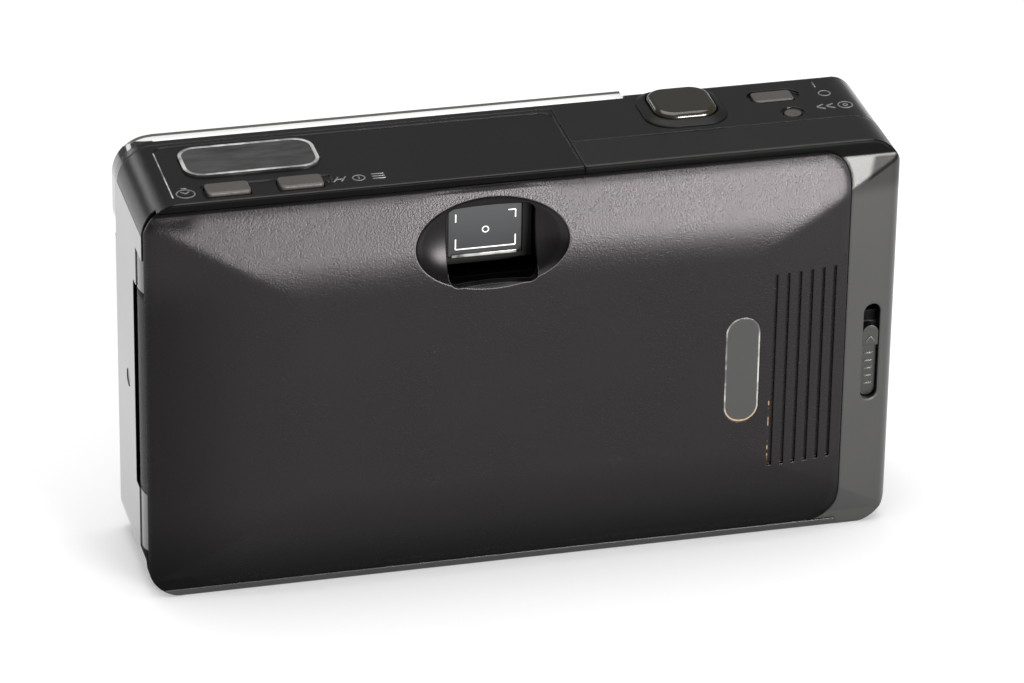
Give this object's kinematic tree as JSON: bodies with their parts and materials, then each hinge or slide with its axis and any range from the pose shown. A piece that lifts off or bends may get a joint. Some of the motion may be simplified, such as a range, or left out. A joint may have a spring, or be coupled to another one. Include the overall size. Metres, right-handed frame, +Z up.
{
  "type": "compact_film_camera",
  "caption": "Compact film camera with hinged back door, sliding lens barrier, run-out lens barrel, flash, motor wind, display, shutter release and tripod socket",
  "frame": {"origin": "middle of the footprint, on the base plane", "axes": "+X to the right as the user holds it (grip end), +Y the way the lens looks, +Z up"},
  "size_m": [0.124, 0.0348, 0.0716],
  "materials": {
    "shell_gloss": "smooth black, slightly satin",
    "shell_satin": "fine textured black",
    "control_cap": "dark olive brown, domed",
    "control_grey": "dark grey satin",
    "trim_bright": "polished black rim",
    "clear_pane": "clear",
    "smoked_pane": "smoked",
    "display_grey": "liquid crystal panel, grey",
    "inner_black": "flat black inside",
    "gear_white": "bare acetal",
    "steel": "bright",
    "spring_steel": "sprung strip",
    "blade_black": "thin black blades",
    "brass": "turned",
    "seal_foam": "foam strip",
    "board_green": "printed circuit board",
    "optic_glass": "coated glass",
    "reflector": "bright",
    "capacitor_black": "sleeved can",
    "cell_can": "plain sleeve"
  },
  "bodies": {
    "housing": {"front_cover": "shell_gloss", "rear_cover": "shell_gloss", "top_cover": "shell_gloss", "window_panel": "shell_gloss", "flash_window": "clear_pane", "viewfinder_window": "clear_pane", "focus_windows": "smoked_pane", "light_sensor": "smoked_pane", "hinge_pin": "steel", "chassis": "inner_black", "drive_motor": "steel", "film_contacts": "brass", "lens_mount": "inner_black", "lens_ring": "shell_gloss", "viewfinder_body": "inner_black", "eyepiece_glass": "optic_glass", "finder_lens": "optic_glass", "flash_reflector": "reflector", "flash_tube": "clear_pane", "flash_capacitor": "capacitor_black", "circuit_board": "board_green", "display_board": "board_green", "display_panel": "display_grey", "display_window": "clear_pane", "battery_cell": "cell_can", "battery_contact": "spring_steel", "release_collar": "trim_bright", "tripod_bush": "brass", "strap_bar": "steel", "cover_screws": "steel", "timer_lamp": "smoked_pane"},
    "door": {"back_door": "shell_satin", "film_window": "clear_pane", "plate_springs": "spring_steel", "cassette_spring": "spring_steel", "door_seal": "seal_foam"},
    "plate": {"pressure_plate": "blade_black"},
    "latch": {"latch_slider": "control_grey"},
    "release": {"release_button": "control_cap"},
    "power": {"power_button": "control_grey"},
    "rewind": {"rewind_button": "control_grey"},
    "timer": {"timer_button": "control_grey"},
    "mode": {"mode_button": "control_grey"},
    "barrel": {"lens_barrel": "shell_satin", "front_lens": "optic_glass", "shutter_plate": "blade_black", "rear_lens": "optic_glass"},
    "barrier_upper": {"barrier_blade_upper": "blade_black"},
    "barrier_lower": {"barrier_blade_lower": "blade_black"},
    "shutter_left": {"shutter_blade_left": "blade_black"},
    "shutter_right": {"shutter_blade_right": "blade_black"},
    "spool": {"take_up_spool": "inner_black"},
    "compound": {"compound_gear": "gear_white"},
    "pinion": {"motor_pinion": "brass"},
    "sprocket": {"sprocket_wheel": "inner_black"},
    "fork": {"rewind_fork": "gear_white"},
    "idler_right": {"idler_gear_right": "gear_white"},
    "idler_middle": {"idler_gear_middle": "gear_white"},
    "idler_left": {"idler_gear_left": "gear_white"},
    "battery_lid": {"battery_door": "shell_gloss"}
  },
  "joints": [
    {"name": "door_hinge", "type": "hinge", "parent": "housing", "child": "door", "pos_m": [-0.0592, -0.00755, 0.032], "axis": [0, 0, -1], "range_deg": [0, 100]},
    {"name": "pressure_plate_slide", "type": "slide", "parent": "door", "child": "plate", "axis": [0, -1, 0], "range_m": [0, 0.0008], "stiffness_N_per_m": 400, "springref_m": -0.001, "deforming": ["plate_springs"]},
    {"name": "latch_slide", "type": "slide", "parent": "housing", "child": "latch", "axis": [0, 0, 1], "range_m": [0, 0.004], "stiffness_N_per_m": 120, "springref_m": -0.003},
    {"name": "release_press", "type": "slide", "parent": "housing", "child": "release", "axis": [0, 0, -1], "range_m": [0, 0.001], "stiffness_N_per_m": 700, "springref_m": -0.0006},
    {"name": "power_press", "type": "slide", "parent": "housing", "child": "power", "axis": [0, 0, -1], "range_m": [0, 0.0005], "stiffness_N_per_m": 900, "springref_m": -0.0004},
    {"name": "rewind_press", "type": "slide", "parent": "housing", "child": "rewind", "axis": [0, 0, -1], "range_m": [0, 0.0005], "stiffness_N_per_m": 900, "springref_m": -0.0004},
    {"name": "timer_press", "type": "slide", "parent": "housing", "child": "timer", "axis": [0, 0, -1], "range_m": [0, 0.0005], "stiffness_N_per_m": 900, "springref_m": -0.0004},
    {"name": "mode_press", "type": "slide", "parent": "housing", "child": "mode", "axis": [0, 0, -1], "range_m": [0, 0.0005], "stiffness_N_per_m": 900, "springref_m": -0.0004},
    {"name": "barrel_extend", "type": "slide", "parent": "housing", "child": "barrel", "axis": [0, 1, 0], "range_m": [0, 0.0065]},
    {"name": "barrier_upper_slide", "type": "slide", "parent": "barrel", "child": "barrier_upper", "axis": [0, 0, 1], "range_m": [0, 0.0059]},
    {"name": "barrier_lower_slide", "type": "slide", "parent": "barrel", "child": "barrier_lower", "axis": [0, 0, -1], "range_m": [0, 0.0059]},
    {"name": "shutter_left_turn", "type": "hinge", "parent": "barrel", "child": "shutter_left", "pos_m": [-0.0085, 0.00805, 0.0293], "axis": [0, -1, 0], "range_deg": [0, 65], "stiffness_Nm_per_rad": 0.00002, "springref_deg": -17.19},
    {"name": "shutter_right_turn", "type": "hinge", "parent": "barrel", "child": "shutter_right", "pos_m": [0.0065, 0.00755, 0.0293], "axis": [0, -1, 0], "range_deg": [0, 65], "stiffness_Nm_per_rad": 0.00002, "springref_deg": -17.19},
    {"name": "spool_turn", "type": "hinge", "parent": "housing", "child": "spool", "pos_m": [-0.0415, -0.00315, 0.03], "axis": [0, 0, 1], "continuous": true},
    {"name": "compound_turn", "type": "hinge", "parent": "housing", "child": "compound", "pos_m": [-0.033, -0.00315, 0.003], "axis": [0, 0, 1], "continuous": true},
    {"name": "pinion_turn", "type": "hinge", "parent": "housing", "child": "pinion", "pos_m": [-0.0415, -0.00315, 0.003], "axis": [0, 0, 1], "continuous": true},
    {"name": "sprocket_turn", "type": "hinge", "parent": "housing", "child": "sprocket", "pos_m": [-0.025, -0.00525, 0.011], "axis": [0, 0, 1], "continuous": true},
    {"name": "fork_turn", "type": "hinge", "parent": "housing", "child": "fork", "pos_m": [0.0335, -0.00315, 0.004], "axis": [0, 0, 1], "continuous": true},
    {"name": "idler_right_turn", "type": "hinge", "parent": "housing", "child": "idler_right", "pos_m": [0.0175, -0.00315, 0.0024], "axis": [0, 0, 1], "continuous": true},
    {"name": "idler_middle_turn", "type": "hinge", "parent": "housing", "child": "idler_middle", "pos_m": [0.0015, -0.00315, 0.0024], "axis": [0, 0, 1], "continuous": true},
    {"name": "idler_left_turn", "type": "hinge", "parent": "housing", "child": "idler_left", "pos_m": [-0.0145, -0.00315, 0.0024], "axis": [0, 0, 1], "continuous": true},
    {"name": "battery_lid_hinge", "type": "hinge", "parent": "housing", "child": "battery_lid", "pos_m": [0.04725, 0.00225, 0.00065], "axis": [0, 1, 0], "range_deg": [0, 95]}
  ],
  "couplings": [
    {"joint": "barrier_upper_slide", "follows": "barrel_extend", "ratio": 0.9},
    {"joint": "barrier_lower_slide", "follows": "barrel_extend", "ratio": 0.9},
    {"joint": "shutter_right_turn", "follows": "shutter_left_turn", "ratio": 1},
    {"joint": "compound_turn", "follows": "spool_turn", "ratio": -2.4},
    {"joint": "pinion_turn", "follows": "spool_turn", "ratio": 7.8},
    {"joint": "idler_right_turn", "follows": "fork_turn", "ratio": -1},
    {"joint": "idler_middle_turn", "follows": "fork_turn", "ratio": 1},
    {"joint": "idler_left_turn", "follows": "fork_turn", "ratio": -1}
  ]
}
